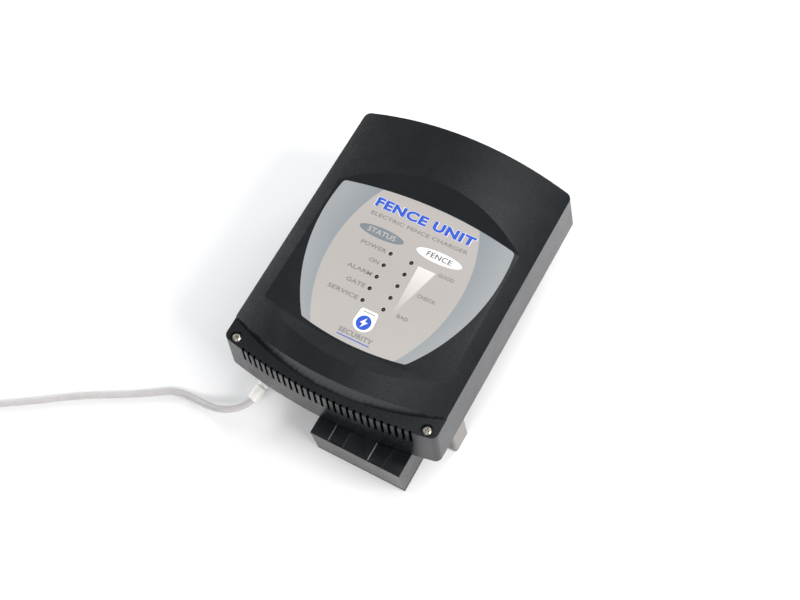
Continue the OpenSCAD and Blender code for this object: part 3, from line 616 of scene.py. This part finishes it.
def printing():
    """Everything printed on the label, in generic words and signs."""
    words("title_halo", [("FENCE UNIT", 0.6, 45.2, "CENTER", 94)], 11.4, "white", INK_T, HALO_INK)
    words("title", [("FENCE UNIT", 0.6, 45.2, "CENTER", 93)], 11.4, "blue", 2 * INK_T, TITLE_INK)
    words("subtitle", [("ELECTRIC FENCE CHARGER", 0.8, 34.6, "CENTER", 91)], 4.6, "grey")
    oval("status_oval", (-26.3, 20.2), (21, 5), "cool_grey")
    words("status_word", [("STATUS", -26.3, 20.2, "CENTER", 26)], 6.4, "pale", 2 * INK_T, HEADING_INK)
    oval("fence_oval", (27.7, 20.8), (21, 5.1), "white")
    words("fence_word", [("FENCE", 27.7, 20.8, "CENTER", 23)], 6.4, "dark_grey", 2 * INK_T, HEADING_INK)
    states = [("POWER", 24), ("ON", 9), ("ALARM", 23), ("GATE", 17.5), ("SERVICE", 28.5)]
    words("status_words", [(name, -14.8, y, "RIGHT", width) for (name, width), y in zip(states, LAMP_YS)],
          4.9, "grey", thick=CAPTION_INK)
    words("fence_words", [("GOOD", 34.2, 7.3, "LEFT", 14.5), ("CHECK", 27.6, -16.2, "LEFT", 17.1),
                          ("BAD", 21.4, -39, "LEFT", 10.4)], 4.3, "grey", thick=CAPTION_INK)
    shape("level_wedge", [(15.8, WEDGE_TOP_Y), WEDGE_TIP, (32, WEDGE_TOP_Y)], "fading_white")
    lamp_rings()
    badge()
    words("foot_word", [("SECURITY", 0, -68.9, "CENTER", 31)], 5.6, "grey", thick=FOOT_INK)
    shape("foot_rule", [(-15, -73.4), (15, -73.4), (15, -72.6), (-15, -72.6)], "blue")


# ---------------------------------------------------------------- small parts on the boards
def turned(name, outline, finish, steps=20):
    """A body turned about z from (radius, height) points in millimetres, the first and last on the axis."""
    mesh = bpy.data.meshes.new(name)
    sides = [(k, k + 1) for k in range(len(outline) - 1)]
    mesh.from_pydata([(r * MM, 0, z * MM) for r, z in outline], sides, [])
    piece = bpy.data.objects.new(name, mesh)
    bpy.context.collection.objects.link(piece)
    only(piece)
    bpy.ops.object.mode_set(mode="EDIT")
    bpy.ops.mesh.select_all(action="SELECT")
    bpy.ops.mesh.spin(steps=steps, angle=2 * math.pi, center=(0, 0, 0), axis=(0, 0, 1))
    bpy.ops.mesh.select_all(action="SELECT")
    bpy.ops.mesh.remove_doubles(threshold=0.001 * MM)
    bpy.ops.mesh.normals_make_consistent(inside=False)
    bpy.ops.object.mode_set(mode="OBJECT")
    bpy.ops.object.shade_smooth_by_angle(angle=math.radians(40))
    mesh.materials.append(finish)
    return piece


def round_line(name, points, thick, round_steps, long_steps):
    """A round line of a given thickness through points, all in millimetres, as a smooth curve."""
    line = bpy.data.curves.new(name, "CURVE")
    line.dimensions = "3D"
    line.bevel_depth = thick / 2 * MM
    line.bevel_resolution = round_steps
    line.resolution_u = long_steps
    line.use_fill_caps = True
    spline = line.splines.new("BEZIER")
    spline.bezier_points.add(len(points) - 1)
    for place, knot in zip(points, spline.bezier_points):
        knot.co = Vector(place) * MM
        knot.handle_left_type = knot.handle_right_type = "AUTO"
    piece = bpy.data.objects.new(name, line)
    bpy.context.collection.objects.link(piece)
    return piece


def wire(name, points, thick, finish):
    """A round wire through points in millimetres, as a mesh."""
    piece = round_line(name, points, thick, 2, 6)
    only(piece)
    bpy.ops.object.convert(target="MESH")
    piece = bpy.context.object
    piece.data.name = name
    piece.data.materials.clear()
    piece.data.materials.append(finish)
    return piece


def joined(name, pieces, body):
    """Several small parts as one piece on a body."""
    only(*pieces)
    bpy.ops.object.join()
    piece = settle()
    piece.name = piece.data.name = name
    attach(piece, body)


def banded_resistor():
    """Dipped resistor body, pale blue, with the painted bands of its value across it."""
    finish = new_finish("dipped_resistor_coat")
    place = add(finish, "TexCoord").outputs["Object"]
    along = add(finish, "SeparateXYZ", {"Vector": place}).outputs["Y"]
    ends = [(RESISTOR_Y + side * RESISTOR_HALF) * MM for side in (-1, 1)]
    coat = "8fa9b4"
    bands = ramp(finish, spread(finish, along, 0.0, 1.0, *ends),
                 [(0.0, coat), (0.14, "6b3a1e"), (0.24, coat), (0.36, "15161a"), (0.46, coat),
                  (0.56, "a5451c"), (0.66, coat), (0.8, "9a7b2c"), (0.9, coat)])
    bands.node.color_ramp.interpolation = "CONSTANT"
    dip = grain(finish, 0.8)
    bump = add(finish, "Bump", {"Height": dip, "Distance": 0.02 * MM}).outputs["Normal"]
    add(finish, "BsdfPrincipled", {"Base Color": bands, "Normal": bump,
                                   "Roughness": spread(finish, dip, 0.25, 0.4)})
    return finish


RESISTOR_Y = -24
RESISTOR_XS = [-16 + 5 * k for k in range(12)]
RESISTOR_HALF = 3.3                    # half of the body's length
RESISTOR_UP = 1.5                      # its axis above the board
RESISTOR_OUTLINE = [(0, -3.3), (0.8, -3.3), (1.25, -2.9), (1.25, -2.1), (1.02, -1.6),
                    (1.02, 1.6), (1.25, 2.1), (1.25, 2.9), (0.8, 3.3), (0, 3.3)]
LEG_D = 0.55
CAN_XS = [-18, -8, 2, 12, 22, 32]
CAN_Y = -63.6
CAN_OUTLINE = [(0, 0), (2.7, 0), (3, 0.3), (3, 1.1), (2.72, 1.5), (3, 1.9), (3, 8.5),
               (2.85, 8.9), (2.4, 9), (2.3, 8.8), (0, 8.8)]
BATTERY_TAB_X = 66.5
BATTERY_LEAD_D = 1.9
BATTERY_LEADS = [(1, "battery_lead_live", "8e1712", "a5221a"), (-1, "battery_lead_dark", "141414", "202020")]
CHIP = (0, -34)
CHIP_SIZE = (24, 6.4, 3.2)
CHIP_DROP = 2.1                        # its middle below the lamp board
CHIP_PINS, PIN_PITCH = 9, 2.54
BEAD_OUTLINE = [(0, 0.1), (1.0, 0.1), (0.75, -0.25), (0.4, -0.75), (0.3, -1.1), (0, -1.1)]


def power_board_parts():
    """A row of resistors and a row of small capacitors on the power board, and the two battery leads."""
    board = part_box("main_board")[1][2] / MM
    coat = banded_resistor()
    bodies, legs, cans = [], [], []
    for x in RESISTOR_XS:
        body = turned("resistor", RESISTOR_OUTLINE, coat)
        body.rotation_euler = (math.radians(90), 0, 0)
        body.location = (x * MM, RESISTOR_Y * MM, (board + RESISTOR_UP) * MM)
        bodies.append(body)
        bends = [(-4.3, -0.2), (-4.3, 1.1), (-3.8, RESISTOR_UP), (0, RESISTOR_UP),
                 (3.8, RESISTOR_UP), (4.3, 1.1), (4.3, -0.2)]
        legs.append(wire("resistor_leg", [(x, RESISTOR_Y + y, board + z) for y, z in bends],
                         LEG_D, FINISH["steel"]))
    for x in CAN_XS:
        can = turned("small_capacitor", CAN_OUTLINE, FINISH["capacitor_sleeve"], 28)
        can.location = (x * MM, CAN_Y * MM, board * MM)
        cans.append(can)
    joined("board_resistors", bodies, "base")
    joined("board_resistor_legs", legs, "base")
    joined("board_small_capacitors", cans, "base")
    tab_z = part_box("battery_tabs")[1][2] / MM
    for side, name, dark, light in BATTERY_LEADS:
        rubber = sheath("battery_lead_pvc_" + name[13:], dark, light)
        x = side * BATTERY_TAB_X
        drop = [(x, 9, tab_z + 0.9), (x, 5.5, tab_z + 1.1), (x, 2.5, tab_z - 3), (x, 1.8, 42),
                (x + side * 3, 2.6, 28), (x + side * 6.5, 2.4, 18), (x + side * 7.5, 1.5, board - 0.2)]
        joined(name, [wire(name, drop, BATTERY_LEAD_D, rubber)], "base")


def lamp_board_parts():
    """A chip, its legs and a row of solder beads on the back of the lamp board."""
    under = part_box("led_board")[0][2] / MM
    only()
    bpy.ops.mesh.primitive_cube_add(size=1, location=(CHIP[0] * MM, CHIP[1] * MM, (under - CHIP_DROP) * MM))
    chip = bpy.context.object
    chip.scale = [side * MM for side in CHIP_SIZE]
    settle()
    bevel = chip.modifiers.new("moulded_edges", "BEVEL")
    bevel.width, bevel.segments = 0.35 * MM, 2
    bpy.ops.object.modifier_apply(modifier=bevel.name)
    chip.data.materials.append(FINISH["potting"])
    legs = []
    for k in range(CHIP_PINS):
        for side in (-1, 1):
            x = CHIP[0] + (k - 4) * PIN_PITCH
            bends = [(2.8, -CHIP_DROP), (3.7, -2), (3.9, -1), (3.9, 0.2)]
            legs.append(wire("chip_leg", [(x, CHIP[1] + side * y, under + z) for y, z in bends],
                             LEG_D, FINISH["steel"]))
    beads = []
    for x in LAMP_X:
        for y in LAMP_YS:
            for side in (-1, 1):
                bead = turned("solder_bead", BEAD_OUTLINE, FINISH["steel"], 14)
                bead.location = ((x + side * PIN_PITCH / 2) * MM, y * MM, under * MM)
                beads.append(bead)
    joined("lamp_board_chip", [chip], "cover")
    joined("lamp_board_chip_legs", legs, "cover")
    joined("lamp_board_solder", beads, "cover")


# ---------------------------------------------------------------- mains lead
LEAD_D = 6
ROUTE = [(-72.4, -133.4, 19), (-73.3, -139.6, 19), (-76.1, -146.2, 19.2), (-80.2, -151.3, 19.3),
         (-85.2, -155, 19.2), (-90.7, -157.5, 18.5), (-96.5, -158.9, 16.9), (-102.4, -159.3, 14.5),
         (-108.1, -159.2, 11.5), (-113.8, -158.7, 8.5), (-119.4, -158.2, 5.9), (-125.1, -157.9, 4.1),
         (-130.6, -157.8, 3.2), (-136, -158.2, 3.1), (-141.1, -159.2, 3.1), (-145.9, -160.7, 3.2),
         (-150.3, -162.7, 3.2), (-154.7, -165.3, 3.1), (-159.7, -168.5, 3.1), (-166.3, -172.6, 3.1),
         (-175.9, -178.2, 3.1), (-190, -186, 3.1), (-210, -196.5, 3.1), (-230, -208.5, 3.1),
         (-250, -221.5, 3.1), (-268, -232.8, 3.1), (-285, -243.4, 3.1), (-302, -254, 3.1),
         (-318, -263.6, 3.1)]
TAIL = [(-332, -318.1, 21.1), (-326.7, -328.9, 21.1), (-321.6, -339.1, 20.8), (-315.6, -348.3, 19),
        (-307.8, -355.9, 15.6), (-298.2, -361.3, 11.8), (-287.5, -364.5, 9.4)]
COIL_C = (-304, -304.5)
COIL_IN, COIL_OUT = 30, 42
LAYER_Z = (3.1, 9.1, 15.1)
COIL_START, COIL_TURN = 122, 2244      # where the lead meets the coil, and how far it winds, in degrees
LAYER_TURN, RISE_TURN = 720, 75        # each layer is a spiral of two turns, and then a rise to the next
LAST_RISE = 60                         # the last degrees climb over the coil's top
COIL_STEP = 12                         # degrees from one point of the coil to the next


def ease(t):
    """A smooth step from 0 to 1."""
    t = min(max(t, 0.0), 1.0)
    return t * t * (3 - 2 * t)


def coil_point(wound):
    """Where the lead is when it has wound this many degrees."""
    layer, into = divmod(wound, LAYER_TURN + RISE_TURN)
    layer = int(layer)
    share = min(into / LAYER_TURN, 1.0)
    inward = layer % 2 == 0
    radius = COIL_OUT - (COIL_OUT - COIL_IN) * (share if inward else 1 - share)
    z = LAYER_Z[layer]
    if into > LAYER_TURN:
        z += (LAYER_Z[layer + 1] - z) * ease((into - LAYER_TURN) / RISE_TURN)
    if wound > COIL_TURN - LAST_RISE:
        z += LEAD_D * ease((wound - COIL_TURN + LAST_RISE) / LAST_RISE)
    turn = math.radians(COIL_START + wound)
    return (COIL_C[0] + radius * math.cos(turn), COIL_C[1] + radius * math.sin(turn), z)


def mains_lead():
    """The lead on one smooth line: along the floor, round the coil and out to the plug."""
    coil = [coil_point(k * COIL_STEP) for k in range(1, int(COIL_TURN / COIL_STEP))]
    points = ROUTE + coil + TAIL
    lead = round_line("mains_lead", points, LEAD_D, 5, 4)
    lead.data.materials.append(FINISH["lead_sheath"])
    length = sum((Vector(b) * MM - Vector(a) * MM).length for a, b in zip(points, points[1:]))
    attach(lead, BODY_OF["cord_tube"])
    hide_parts("cord_tube", "cord_coil", "cord_tail")
    return lead, length


camera()
studio()
floor()
lead, lead_length = mains_lead()
made = {node: softened(node, edge) for node, edge in EDGE_MM.items()}
domed_cover()
printing()
power_board_parts()
lamp_board_parts()
print("lead length", round(lead_length, 3))
